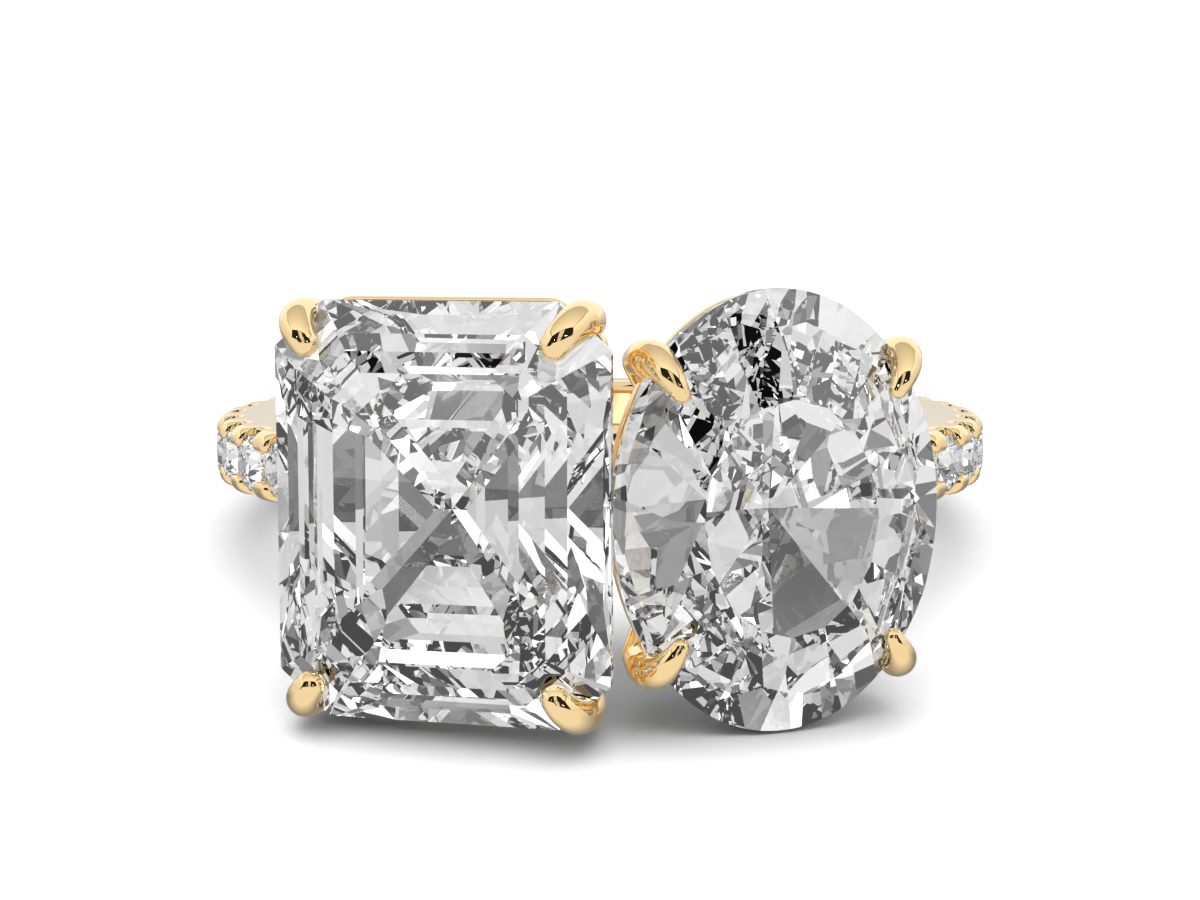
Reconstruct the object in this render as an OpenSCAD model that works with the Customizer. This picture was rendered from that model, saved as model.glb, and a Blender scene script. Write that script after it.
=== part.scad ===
// Toi et moi ring. A shank set with small round diamonds carries two claw baskets side
// by side: one holds a cut-corner rectangular diamond, the other an oval one, and each
// leans outwards. Millimetres, +Z up, origin at the centre of the finger hole.
// Everything is drawn with the finger axis along Z and the head towards -Y, then tipped
// forward until the back of the shank and the lower edge of the head lie on the ground.

/* [Shank] */
// Radius of the finger hole
finger_r = 8.45; // [7.5:0.05:10.5]
// Thickness of the shank, from the finger hole to the outside
shank_t = 1.8; // [1.5:0.1:2.4]
// Width of the shank along the finger
shank_w = 1.69; // [1.6:0.01:2.4]
// Rounding of the shank's outer edges
outer_round = 0.3; // [0.1:0.05:0.4]
// Rounding of the shank's inner edges
inner_round = 0.15; // [0.05:0.01:0.3]

/* [Small diamonds] */
// Number of small diamonds on each shoulder
pave_count = 11; // [4:1:12]
// Diameter of a small diamond
pave_d = 1.38; // [1.1:0.01:1.5]
// Distance between the edges of two small diamonds
pave_gap = 0.22; // [0.12:0.01:0.4]
// Angle from the middle of the head to the first small diamond
pave_start = 31; // [29:0.5:45]
// Width of the U-shaped cut that opens the shank beside each small diamond
scallop_w = 0.74; // [0.4:0.02:0.9]
// Depth of that cut from the outside of the shank
scallop_depth = 0.66; // [0.5:0.01:0.8]
// Width of the groove that parts the bead tips on either side
tip_gap = 0.68; // [0.4:0.02:0.9]

/* [Radiant diamond] */
// Width of the radiant diamond, across the finger
radiant_w = 7.08; // [6:0.02:8]
// Length of the radiant diamond, along the finger
radiant_l = 8.64; // [7:0.02:10]
// Length of the cut corner along the width
radiant_corner_w = 1.07; // [0.7:0.01:1.4]
// Length of the cut corner along the length
radiant_corner_l = 0.95; // [0.7:0.01:1.4]
// Width of its table
radiant_table_w = 3.9; // [3:0.05:4.6]
// Length of its table
radiant_table_l = 5.86; // [4.5:0.05:6.5]
// Height of its crown above the girdle
radiant_crown = 0.98; // [0.6:0.02:1.3]
// Depth of its pavilion below the girdle
radiant_pavilion = 3.2; // [2.4:0.05:3.3]
// Lean of the radiant diamond away from the middle
radiant_lean = 13.5; // [8:0.5:16]
// Distance of its inner edge past the middle of the ring, towards the oval
radiant_past = 0.24; // [0:0.01:0.3]
// Gap between its point and the outside of the shank
radiant_point_gap = 0.1; // [0.05:0.01:0.4]

/* [Oval diamond] */
// Width of the oval diamond, across the finger
oval_w = 6.9; // [6:0.02:7.4]
// Length of the oval diamond, along the finger
oval_l = 9.12; // [7.6:0.02:10.4]
// Width of its table
oval_table_w = 3.9; // [3.2:0.05:4.4]
// Height of its crown above the girdle
oval_crown = 1.05; // [0.7:0.05:1.3]
// Depth of its pavilion below the girdle
oval_pavilion = 2.95; // [2.4:0.05:3]
// Lean of the oval diamond away from the middle
oval_lean = 12.5; // [8:0.5:16]
// Gap between its girdle and the radiant's, whose inner edge stands above the oval's
stone_gap = 0.16; // [0.1:0.01:0.3]

/* [Baskets and claws] */
// Thickness of a main stone's girdle
girdle_t = 0.18; // [0.14:0.02:0.3]
// Gap between a stone and its metal seat
seat_gap = 0.03; // [0.02:0.01:0.06]
// Width of a claw
claw_w = 0.72; // [0.6:0.02:1]
// Height of a claw's middle above the girdle
claw_rise = 0.86; // [0.7:0.02:1.1]
// Reach of a claw's tip over the stone, from the girdle
claw_reach = 0.82; // [0.6:0.02:1.2]
// Distance of a claw's middle outside the girdle
claw_out = 0.05; // [0:0.01:0.2]
// How far the oval's stems bow out across the finger below the girdle
oval_stem_bow = 0.16; // [0:0.02:0.25]
// The same for the radiant's stems
radiant_stem_bow = 0.02; // [0:0.02:0.2]
// Depth of the gallery rail's top below the girdle
rail_drop = 0.42; // [0.3:0.02:1]
// Height of the gallery rail
rail_h = 0.36; // [0.3:0.02:0.9]
// Thickness of the gallery rail
rail_t = 0.5; // [0.4:0.05:0.8]
// How far the radiant's rail lies inside its girdle at the long sides
rail_tuck = 0.25; // [0:0.01:0.3]
// How far the radiant's rail stands out past its girdle at the short sides
rail_proud = 0.05; // [0:0.01:0.1]
// How far the oval's rail lies inside its girdle
oval_rail_tuck = 0.06; // [0:0.01:0.2]
// How deep the feet of the baskets sink into the shank
foot_sink = 0.5; // [0.3:0.05:0.8]
// Distance between the middle of a basket's base and its feet, across the finger
foot_spread = 1; // [0.7:0.05:1.1]

/* [Hidden] */
sides = ["left", "right"];
pave_names = [for (s = sides, i = [1 : pave_count]) str("pave_", s, "_", i)];

outer_r = finger_r + shank_t;

// Small diamonds: share of the diameter that the crown, pavilion and table take
PAVE_CROWN = 0.15;
PAVE_PAVILION = 0.42;
PAVE_TABLE = 0.56;
pave_r = pave_d / 2;
pave_girdle_t = 0.03 * pave_d;
pave_crown = PAVE_CROWN * pave_d;
pave_pavilion = PAVE_PAVILION * pave_d;
// Their tables lie flush with the outside of the shank
pave_seat_r = outer_r - pave_crown - pave_girdle_t / 2;
pave_step = 2 * asin((pave_d + pave_gap) / 2 / pave_seat_r);
function pave_angle(i) = pave_start + (i - 1) * pave_step;

// Levels of a basket, measured along a main stone's own axis from the middle of its girdle
rail_top = -(girdle_t / 2 + rail_drop);
rail_foot = rail_top - rail_h;

// A main stone's place: middle of its girdle, and its lean about Z (plus leans to the right).
// The radiant's point sits just off the shank, and the oval's inner edge under the radiant's.
radiant_place =
    let (half = radiant_w / 2, deep = girdle_t / 2 + radiant_pavilion, r = outer_r + radiant_point_gap,
         x = radiant_past - half * cos(radiant_lean), point_x = x + deep * sin(radiant_lean))
    [x, -sqrt(r * r - point_x * point_x) - deep * cos(radiant_lean), -radiant_lean];
inner_edge_y = radiant_place[1] - radiant_w / 2 * sin(radiant_lean);
oval_place = [radiant_past + oval_w / 2 * cos(oval_lean),
    inner_edge_y + girdle_t + stone_gap + oval_w / 2 * sin(oval_lean), oval_lean];

// The ring's tip: the ground touches the rounded lower rim at the back of the shank, and
// whichever is lowest of the lower edges of the rails and girdles
back_y = outer_r - outer_round;
back_z = -(shank_w / 2 - outer_round);
function tip_onto(place, depth, half_length) =
    let (run = back_y - place[1] - depth * cos(place[2]), drop = back_z + half_length)
    atan(drop / run) - asin(outer_round / norm([run, drop]));
rest_tip = max(
    tip_onto(radiant_place, -rail_foot, radiant_l / 2 + rail_proud),
    tip_onto(radiant_place, girdle_t / 2, radiant_l / 2),
    tip_onto(oval_place, -rail_foot, oval_l / 2 - oval_rail_tuck),
    tip_onto(oval_place, girdle_t / 2, oval_l / 2));

// Moves from a main stone's own frame (x width, y length, z outwards) to the ring's
module at_place(place) {
    translate([place[0], place[1], 0])
        rotate([0, 0, place[2]])
            rotate([90, 0, 0])
                children();
}

// The same for one point
function to_ring(place, p) = [
    place[0] + p[0] * cos(place[2]) + p[2] * sin(place[2]),
    place[1] + p[0] * sin(place[2]) - p[2] * cos(place[2]),
    p[1]];

// Tips the finished ring onto the ground
module rest() {
    rotate([-rest_tip, 0, 0]) children();
}

function unit(v) = v / norm(v);
function ellipse_point(a, b, t) = [a * cos(t), b * sin(t)];

// Round brilliant cut, stretched to a by b: table as a share of the girdle, girdle band
// centred on z = 0, table up. cuts is the number of girdle edges that each half facet has,
// and grow thickens the stone all round.
STAR = 0.76;
LOWER_HALF = 0.24;
module brilliant(a, b, table, crown, pavilion, girdle, cuts = 1, grow = 0) {
    ag = a + grow;
    bg = b + grow;
    top = girdle / 2 + crown + grow;
    band = girdle / 2 + grow / 2;
    tip = girdle / 2 + pavilion + grow;
    star_z = band + (top - band) * (1 - STAR * cos(22.5)) / (1 - table);
    half_z = -band - (tip - band) * (1 - LOWER_HALF * cos(22.5));
    count = 16 * cuts;
    ring_8 = [0 : 7];
    ring_n = [0 : count - 1];
    // How far each girdle point lies outside the chord of its half facet
    bulge = [for (m = ring_n) (cos(22.5 * (m % cuts) / cuts - 11.25) / cos(11.25) - 1)];
    points = concat(
        [for (k = ring_8) [each ellipse_point(ag * table, bg * table, 45 * k), top]],
        [for (k = ring_8) [each ellipse_point(ag * STAR, bg * STAR, 45 * k + 22.5), star_z]],
        [for (m = ring_n) [each ellipse_point(ag, bg, 22.5 * m / cuts),
            band - (star_z - band) * bulge[m] / (1 - STAR)]],
        [for (m = ring_n) [each ellipse_point(ag, bg, 22.5 * m / cuts),
            -band - (half_z + band) * bulge[m] / (1 - LOWER_HALF)]],
        [for (k = ring_8) [each ellipse_point(ag * LOWER_HALF, bg * LOWER_HALF, 45 * k + 22.5), half_z]],
        [[0, 0, -tip]]);
    star_0 = 8;
    top_0 = 16;
    low_0 = top_0 + count;
    half_0 = low_0 + count;
    culet = half_0 + 8;
    faces = concat(
        [[for (k = ring_8) 7 - k]],
        [for (k = ring_8) [k, (k + 1) % 8, star_0 + k]],
        [for (k = ring_8) [k, star_0 + k, top_0 + 2 * k * cuts, star_0 + (k + 7) % 8]],
        [for (m = ring_n) [star_0 + floor(m / cuts / 2), top_0 + (m + 1) % count, top_0 + m]],
        [for (m = ring_n) [top_0 + m, top_0 + (m + 1) % count, low_0 + (m + 1) % count, low_0 + m]],
        [for (m = ring_n) [half_0 + floor(m / cuts / 2), low_0 + m, low_0 + (m + 1) % count]],
        [for (k = ring_8) [culet, half_0 + (k + 7) % 8, low_0 + 2 * k * cuts, half_0 + k]]);
    polyhedron(points, faces);
}

// Corners of a cut-corner rectangle, anticlockwise from the right side's lower end
function cut_corners(a, b, ca, cb) = [
    [a, -(b - cb)], [a, b - cb], [a - ca, b], [-(a - ca), b],
    [-a, b - cb], [-a, -(b - cb)], [-(a - ca), -b], [a - ca, -b]];

// Crown steps of the radiant cut: share of the way in to the table, share of the crown
RADIANT_STEPS = [[0, 0], [0.39, 0.65], [0.7, 0.88], [1, 1]];
// Pavilion rows: share of the girdle's size, share of the depth
RADIANT_ROWS = [[1, 0], [0.74, 0.42], [0.38, 0.76]];

module radiant(grow = 0) {
    a = radiant_w / 2 + grow;
    b = radiant_l / 2 + grow;
    band = (girdle_t + grow) / 2;
    top = girdle_t / 2 + radiant_crown + grow;
    tip = girdle_t / 2 + radiant_pavilion + grow;
    in_a = a - radiant_table_w / 2;
    in_b = b - radiant_table_l / 2;
    crown_rings = [for (s = RADIANT_STEPS)
        [for (p = cut_corners(a - in_a * s[0], b - in_b * s[0],
                radiant_corner_w * (1 - 0.45 * s[0]), radiant_corner_l * (1 - 0.45 * s[0])))
            [p[0], p[1], band + (top - band) * s[1]]]];
    pavilion_rings = [for (s = RADIANT_ROWS)
        [for (p = cut_corners(a * s[0], b * s[0], radiant_corner_w * s[0], radiant_corner_l * s[0]))
            [p[0], p[1], -band - (tip - band) * s[1]]]];
    rings = concat([for (i = [len(crown_rings) - 1 : -1 : 0]) crown_rings[i]], pavilion_rings);
    points = concat([for (r = rings) each r], [[0, 0, -tip]]);
    last = len(rings) - 1;
    culet = len(points) - 1;
    faces = concat(
        [[for (k = [7 : -1 : 0]) k]],
        [for (i = [0 : last - 1], k = [0 : 7])
            each [[8 * i + k, 8 * i + (k + 1) % 8, 8 * i + 8 + k],
                  [8 * i + (k + 1) % 8, 8 * i + 8 + (k + 1) % 8, 8 * i + 8 + k]]],
        [for (k = [0 : 7]) [8 * last + k, 8 * last + (k + 1) % 8, culet]]);
    polyhedron(points, faces);
}

module radiant_in_place(grow = 0) {
    at_place(radiant_place) radiant(grow);
}

OVAL_CUTS = 4;
module oval_in_place(grow = 0) {
    at_place(oval_place)
        brilliant(oval_w / 2, oval_l / 2, oval_table_w / oval_w, oval_crown, oval_pavilion, girdle_t,
            OVAL_CUTS, grow);
}

// A small diamond's frame: x along the shank, y across it, z outwards
module at_pave(side, i) {
    rotate([0, 0, side * pave_angle(i)])
        translate([0, -pave_seat_r, 0])
            rotate([90, 0, 0])
                children();
}

module pave_diamond(side, i) {
    color("white")
        rest()
            at_pave(side, i)
                brilliant(pave_r, pave_r, PAVE_TABLE, pave_crown, pave_pavilion, pave_girdle_t);
}

// Room for one small diamond, open outwards above its table
module pave_seat() {
    r = pave_r + seat_gap;
    band = pave_girdle_t / 2;
    table_r = PAVE_TABLE * pave_r + seat_gap;
    rotate_extrude($fn = 48)
        polygon([[0, -band - pave_pavilion - seat_gap], [r, -band], [r, band + seat_gap],
            [table_r, band + pave_crown + seat_gap], [table_r, 2 * pave_crown], [0, 2 * pave_crown]]);
}

// U-shaped cut through the width of the shank beside one small diamond
module scallop() {
    r = scallop_w / 2;
    floor_z = outer_r - scallop_depth - pave_seat_r;
    rotate([90, 0, 0])
        translate([0, 0, -shank_w])
            linear_extrude(2 * shank_w) {
                translate([0, floor_z + r]) circle(r = r, $fn = 32);
                translate([-r, floor_z + r]) square([scallop_w, scallop_depth]);
            }
}

ROUND_STEPS = 3;
function round_corner(c, r, from) =
    [for (i = [0 : ROUND_STEPS]) [c[0] + r * cos(from + 90 * i / ROUND_STEPS), c[1] + r * sin(from + 90 * i / ROUND_STEPS)]];

module shank_profile() {
    w = shank_w / 2;
    polygon(concat(
        round_corner([finger_r + inner_round, -w + inner_round], inner_round, 180),
        round_corner([outer_r - outer_round, -w + outer_round], outer_round, 270),
        round_corner([outer_r - outer_round, w - outer_round], outer_round, 0),
        round_corner([finger_r + inner_round, w - inner_round], inner_round, 90)));
}

// Groove along one shoulder, from the first small diamond to the last
module tip_groove(side) {
    from = pave_angle(1);
    sweep = pave_angle(pave_count) - from;
    rotate([0, 0, -90 + (side > 0 ? from : -from - sweep)])
        rotate_extrude(angle = sweep, $fn = 180)
            translate([pave_seat_r - 0.15 * pave_d, -tip_gap / 2])
                square([pave_d, tip_gap]);
}

module shank() {
    rotate_extrude($fn = 180) shank_profile();
}

module pave_cuts() {
    for (side = [-1, 1]) {
        for (i = [1 : pave_count])
            at_pave(side, i) {
                scallop();
                pave_seat();
            }
        tip_groove(side);
    }
}

// A claw's middle line and girth, in the plane that it bends in: distance outside the
// girdle, height above it, radius. It rises past the rail and bends over in an arc.
CLAW_TIP = 0.74;
CLAW_SWELL = 0.08;
CLAW_ARC = 6;
CLAW_CAP = [30, 54, 74, 86];
CLAW_SIDES = 12;
claw_r = claw_w / 2;
claw_bend = claw_reach - CLAW_TIP * claw_r;
claw_rows = concat(
    [[claw_out + 0.06, rail_foot - 0.15, 0.92 * claw_r], [claw_out + 0.06, rail_top, 0.97 * claw_r],
        [claw_out, 0, claw_r]],
    [for (i = [1 : CLAW_ARC]) let (t = 90 * i / CLAW_ARC)
        [claw_out - (claw_out + claw_bend) * (1 - cos(t)), claw_rise * sin(t),
            claw_r * (1 - (1 - CLAW_TIP) * i / CLAW_ARC + CLAW_SWELL * sin(2 * t))]],
    [for (t = CLAW_CAP) [-claw_bend - CLAW_TIP * claw_r * sin(t), claw_rise, CLAW_TIP * claw_r * cos(t)]]);
// Share of the stem's bow at each of those rows
CLAW_BOW = [1, 0.8, 0.3];

function ring_at(p, along, side, r) =
    let (out = unit(cross(along, side)), over = unit(cross(out, along)))
    [for (k = [0 : CLAW_SIDES - 1])
        p + r * (cos(360 * k / CLAW_SIDES) * over + sin(360 * k / CLAW_SIDES) * out)];

// Tube along points with a radius at each, closed at both ends. side lies across the bend.
module tube(path, radii, side) {
    n = len(path);
    along = [for (i = [0 : n - 1]) unit(path[min(i + 1, n - 1)] - path[max(i - 1, 0)])];
    points = [for (i = [0 : n - 1]) each ring_at(path[i], along[i], side, radii[i])];
    s = CLAW_SIDES;
    faces = concat(
        [[for (k = [0 : s - 1]) k]],
        [for (i = [0 : n - 2], k = [0 : s - 1])
            each [[s * i + k, s * i + s + k, s * i + (k + 1) % s],
                  [s * i + (k + 1) % s, s * i + s + k, s * i + s + (k + 1) % s]]],
        [[for (k = [s - 1 : -1 : 0]) s * (n - 1) + k]]);
    polyhedron(points, faces);
}

// edge is the girdle point that the claw grips and dir its outward direction, in the
// stone's own frame; bow pushes the stem out across the finger, and foot is where it is
// soldered, in the ring's frame
STEM_BELLY = 0.2;
STEM_FOOT = 0.8;
module claw(place, edge, dir, bow, foot) {
    out = to_ring(place, [dir[0], dir[1], 0]) - to_ring(place, [0, 0, 0]);
    side = to_ring(place, [-dir[1], dir[0], 0]) - to_ring(place, [0, 0, 0]);
    hook = [for (i = [0 : len(claw_rows) - 1])
        let (c = claw_rows[i], b = (i < len(CLAW_BOW) ? CLAW_BOW[i] : 0) * bow * sign(dir[0]))
        to_ring(place, [edge[0] + dir[0] * c[0] + b, edge[1] + dir[1] * c[0], c[1]])];
    middle = (foot + hook[0]) / 2 + STEM_BELLY * out;
    path = concat([foot, middle], hook);
    radii = concat([STEM_FOOT * claw_r, 0.5 * (STEM_FOOT + 0.92) * claw_r], [for (c = claw_rows) c[2]]);
    tube(path, radii, side);
}

// Foot of a stem under a stone at place: across the finger by sx, across the shank by sy
function foot_at(place, sx, sy) =
    let (r = outer_r - foot_sink,
         x = place[0] + (place[1] + outer_r) * tan(place[2]) + sx * foot_spread)
    [x, -sqrt(r * r - x * x), sy * (shank_w / 2 - STEM_FOOT * claw_r - 0.01)];

module rail(outline, inner) {
    translate([0, 0, rail_foot])
        linear_extrude(rail_h)
            difference() {
                polygon(outline);
                polygon(inner);
            }
}

OVAL_SIDES = 48;
function oval_outline(grow) =
    [for (k = [0 : OVAL_SIDES - 1]) ellipse_point(oval_w / 2 + grow, oval_l / 2 + grow, 360 * k / OVAL_SIDES)];

function radiant_outline(grow) = cut_corners(
    radiant_w / 2 - rail_tuck + grow, radiant_l / 2 + rail_proud + grow,
    radiant_corner_w + 0.4 * grow, radiant_corner_l * 1.3 + 0.4 * grow);

// Heading of each claw, in degrees from the stone's width
CLAW_HEADING = 54;
// Where an oval claw grips: angle along the ellipse
OVAL_CLAW_T = 41.5;
// Where a radiant claw grips: share of the cut corner from its outer end
RADIANT_CLAW_AT = 0.6;

module radiant_basket() {
    edge = [radiant_w / 2 - radiant_corner_w * RADIANT_CLAW_AT,
        radiant_l / 2 - radiant_corner_l * (1 - RADIANT_CLAW_AT)];
    at_place(radiant_place) rail(radiant_outline(0), radiant_outline(-rail_t));
    basket_claws(radiant_place, edge, radiant_stem_bow);
}

module oval_basket() {
    at_place(oval_place) rail(oval_outline(-oval_rail_tuck), oval_outline(-oval_rail_tuck - rail_t));
    basket_claws(oval_place, ellipse_point(oval_w / 2, oval_l / 2, OVAL_CLAW_T), oval_stem_bow);
}

module basket_claws(place, edge, bow) {
    for (sx = [-1, 1], sy = [-1, 1])
        claw(place, [sx * edge[0], sy * edge[1]], [sx * cos(CLAW_HEADING), sy * sin(CLAW_HEADING)],
            bow, foot_at(place, sx, sy));
}

module gold_mount() {
    color("goldenrod")
        rest()
            difference() {
                union() {
                    shank();
                    radiant_basket();
                    oval_basket();
                }
                pave_cuts();
                radiant_in_place(seat_gap);
                oval_in_place(seat_gap);
            }
}

module radiant_diamond() {
    color("white") rest() radiant_in_place();
}

module oval_diamond() {
    color("white") rest() oval_in_place();
}

gold_mount();
radiant_diamond();
oval_diamond();
for (s = [0, 1], i = [1 : pave_count])
    pave_diamond(2 * s - 1, i);
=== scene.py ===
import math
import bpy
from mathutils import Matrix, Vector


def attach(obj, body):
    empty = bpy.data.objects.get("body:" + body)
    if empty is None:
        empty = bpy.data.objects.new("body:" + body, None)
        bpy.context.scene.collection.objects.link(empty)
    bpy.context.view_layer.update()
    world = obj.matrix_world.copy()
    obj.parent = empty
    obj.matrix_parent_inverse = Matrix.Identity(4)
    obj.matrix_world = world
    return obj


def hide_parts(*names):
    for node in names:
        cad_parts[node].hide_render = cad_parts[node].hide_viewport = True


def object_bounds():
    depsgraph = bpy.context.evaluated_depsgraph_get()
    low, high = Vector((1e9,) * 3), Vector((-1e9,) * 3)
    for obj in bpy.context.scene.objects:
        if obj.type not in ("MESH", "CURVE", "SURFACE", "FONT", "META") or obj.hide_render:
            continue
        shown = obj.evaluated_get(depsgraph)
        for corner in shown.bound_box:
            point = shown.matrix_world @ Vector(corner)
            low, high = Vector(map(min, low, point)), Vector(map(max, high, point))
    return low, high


bl_info = {
    "name": "Two-Stone Diamond Ring",
    "version": (1, 0, 0),
    "blender": (4, 5, 0),
    "location": "View3D > Sidebar > Ring",
    "description": "Builds a gold ring with a radiant and an oval diamond, and the studio it lies in",
    "category": "Object",
}

from functools import partial

import bmesh
import bpy
from bpy.props import FloatProperty, FloatVectorProperty, IntProperty, PointerProperty
from mathutils import Matrix, Vector

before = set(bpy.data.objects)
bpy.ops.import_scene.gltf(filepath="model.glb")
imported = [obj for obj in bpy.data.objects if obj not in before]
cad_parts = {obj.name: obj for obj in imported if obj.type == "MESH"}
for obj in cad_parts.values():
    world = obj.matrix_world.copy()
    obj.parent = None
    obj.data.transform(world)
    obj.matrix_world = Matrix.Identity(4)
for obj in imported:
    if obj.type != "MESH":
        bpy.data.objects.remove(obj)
CAD_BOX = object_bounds()

MM = 0.001
TAU = 2 * math.pi


# Sizes and colours that a user would change


def number(name, about, default, low, high, **more):
    return FloatProperty(
        name=name, description=about, default=default, min=low, max=high, precision=3, **more)


def in_mm(name, about, default, low, high):
    return number(name, about + ", in mm", default, low, high)


def in_degrees(name, about, default, low, high):
    return number(name, about + ", in degrees", default, low, high)


def as_share(name, about, default, low, high):
    return number(name, about, default, low, high, subtype="FACTOR")


def group(kind, name, about):
    return PointerProperty(type=kind, name=name, description=about)


class RingShankSizes(bpy.types.PropertyGroup):
    """The shank"""

    finger_r: in_mm("Finger Radius", "Radius of the finger hole", 8.45, 7, 11)
    thick: in_mm("Thickness", "From the finger hole to the outside", 1.8, 1.4, 2.6)
    wide: in_mm("Width", "Width of the shank along the finger", 1.69, 1.4, 2.6)
    outer_round: in_mm("Outer Rounding", "Rounding of the shank's outer edges", 0.34, 0.1, 0.5)
    inner_round: in_mm("Inner Rounding", "Rounding of the shank's inner edges", 0.15, 0.05, 0.3)
    notch_w: in_mm("Notch Width", "Width of the U-shaped cut beside each small diamond", 0.74, 0.4, 0.9)
    notch_depth: in_mm("Notch Depth", "Depth of that cut", 0.66, 0.5, 0.8)
    bead_round: in_mm("Bead Rounding", "Rounding of the beads between the cuts", 0.3, 0.1, 0.4)
    tip_gap: in_mm("Tip Gap", "Distance between bead tips across the shank", 0.68, 0.4, 0.9)


class RingMeleeSizes(bpy.types.PropertyGroup):
    """The small diamonds down the shoulders"""

    count: IntProperty(
        name="Diamonds per Shoulder", description="Number of small diamonds on each shoulder",
        default=11, min=4, max=12)
    size: in_mm("Diameter", "Diameter of a small diamond", 1.38, 1.1, 1.5)
    gap: in_mm("Gap", "Distance between the edges of two small diamonds", 0.22, 0.12, 0.4)
    start: in_degrees(
        "First Angle", "Angle from the middle of the head to the first small diamond",
        31, 29, 45)


class RingRadiantSizes(bpy.types.PropertyGroup):
    """The radiant diamond, on the left"""

    wide: in_mm("Width", "Width across the finger", 7.08, 6, 8)
    long: in_mm("Length", "Length along the finger", 8.64, 7, 10)
    corner_w: in_mm("Corner Width", "Cut corner along the width", 1.07, 0.7, 1.4)
    corner_l: in_mm("Corner Length", "Cut corner along the length", 0.95, 0.7, 1.4)
    table_w: in_mm("Table Width", "Width of the table", 3.84, 3, 4.6)
    table_l: in_mm("Table Length", "Length of the table", 5.86, 4.5, 6.5)
    crown: in_mm("Crown", "Height of the crown above the girdle", 0.98, 0.6, 1.3)
    pavilion: in_mm("Pavilion", "Depth of the pavilion below the girdle", 3.2, 2.4, 3.3)
    lean: in_degrees("Lean", "Lean away from the middle", 13.5, 8, 16)
    past: in_mm("Past the Middle", "Distance of its inner edge past the middle of the ring", 0.24, 0, 0.3)
    point_gap: in_mm("Point Gap", "Gap between its point and the shank", 0.1, 0.05, 0.4)


class RingOvalSizes(bpy.types.PropertyGroup):
    """The oval diamond, on the right"""

    wide: in_mm("Width", "Width across the finger", 6.9, 6, 7.4)
    long: in_mm("Length", "Length along the finger", 9.12, 7.6, 10.4)
    table_w: in_mm("Table Width", "Width of the table", 3.7, 3.2, 4.4)
    crown: in_mm("Crown", "Height of the crown above the girdle", 0.96, 0.7, 1.3)
    pavilion: in_mm("Pavilion", "Depth of the pavilion below the girdle", 2.95, 2.4, 3)
    lean: in_degrees("Lean", "Lean away from the middle", 12.5, 8, 16)
    stone_gap: in_mm("Stone Gap", "Gap between its girdle and the radiant's", 0.16, 0.1, 0.3)


class RingBasketSizes(bpy.types.PropertyGroup):
    """What both claw baskets share"""

    girdle: in_mm("Girdle", "Thickness of a main stone's girdle", 0.18, 0.14, 0.3)
    seat_gap: in_mm("Seat Gap", "Gap between a stone and its metal seat", 0.03, 0.02, 0.06)
    rail_drop: in_mm("Rail Drop", "Depth of the rail's top below the girdle", 0.42, 0.3, 1)
    rail_h: in_mm("Rail Height", "Height of the gallery rail", 0.36, 0.3, 0.9)
    rail_t: in_mm("Rail Thickness", "Thickness of the gallery rail", 0.5, 0.4, 0.8)
    rail_tuck: in_mm(
        "Rail Tuck", "How far the radiant's rail lies inside its girdle at the long sides",
        0.25, 0, 0.3)
    rail_proud: in_mm("Rail Proud", "How far it stands out past the short sides", 0.05, 0, 0.1)
    oval_tuck: in_mm("Oval Rail Tuck", "How far the oval's rail lies inside its girdle", 0.06, 0, 0.2)
    foot_sink: in_mm("Foot Sink", "How deep the feet sink into the shank", 0.5, 0.3, 0.8)
    foot_spread: in_mm("Foot Spread", "From the middle of a basket's base to its feet", 1.0, 0.7, 1.1)


class RingClawSizes(bpy.types.PropertyGroup):
    """The claws of one basket"""

    radius: in_mm("Radius", "Radius of a claw at the girdle", 0.345, 0.25, 0.5)
    rise: in_mm("Rise", "Height of its middle above the girdle", 0.825, 0.6, 1.1)
    out: in_mm("Out", "Distance of its middle outside the girdle", 0.035, 0, 0.2)
    bend: in_mm("Bend", "Reach of its bend over the stone", 0.534, 0.2, 1)
    tip: as_share("Tip", "Girth of its tip, as a share of its radius", 0.87, 0.4, 1)
    bow: in_mm("Bow", "How far its stem bows out across the finger", 0.02, 0, 0.3)
    tuck: in_mm("Tuck", "How far its stem tucks in below the girdle", 0.2, 0, 0.4)
    swell: number(
        "Swell", "Girth at its widest, just below the girdle, as a share of its radius",
        1.16, 0.8, 1.5)
    fullness: number("Fullness", "How long it keeps that girth towards its tip", 1.3, 0.5, 3)
    heading: number("Heading", "Direction it leans in from, in degrees from the stone's width", 53, 30, 70)


class RingFinish(bpy.types.PropertyGroup):
    """Metal and stone"""

    gold: FloatVectorProperty(
        name="Gold", description="Colour of the polished gold", subtype="COLOR",
        default=(1.0, 0.752, 0.4), size=3, min=0, max=1)
    gold_rough: as_share("Gold Roughness", "Roughness of the polish", 0.035, 0, 1)
    diamond_ior: number("Refraction", "Index of refraction of the diamonds", 2.417, 1, 3)


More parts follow.
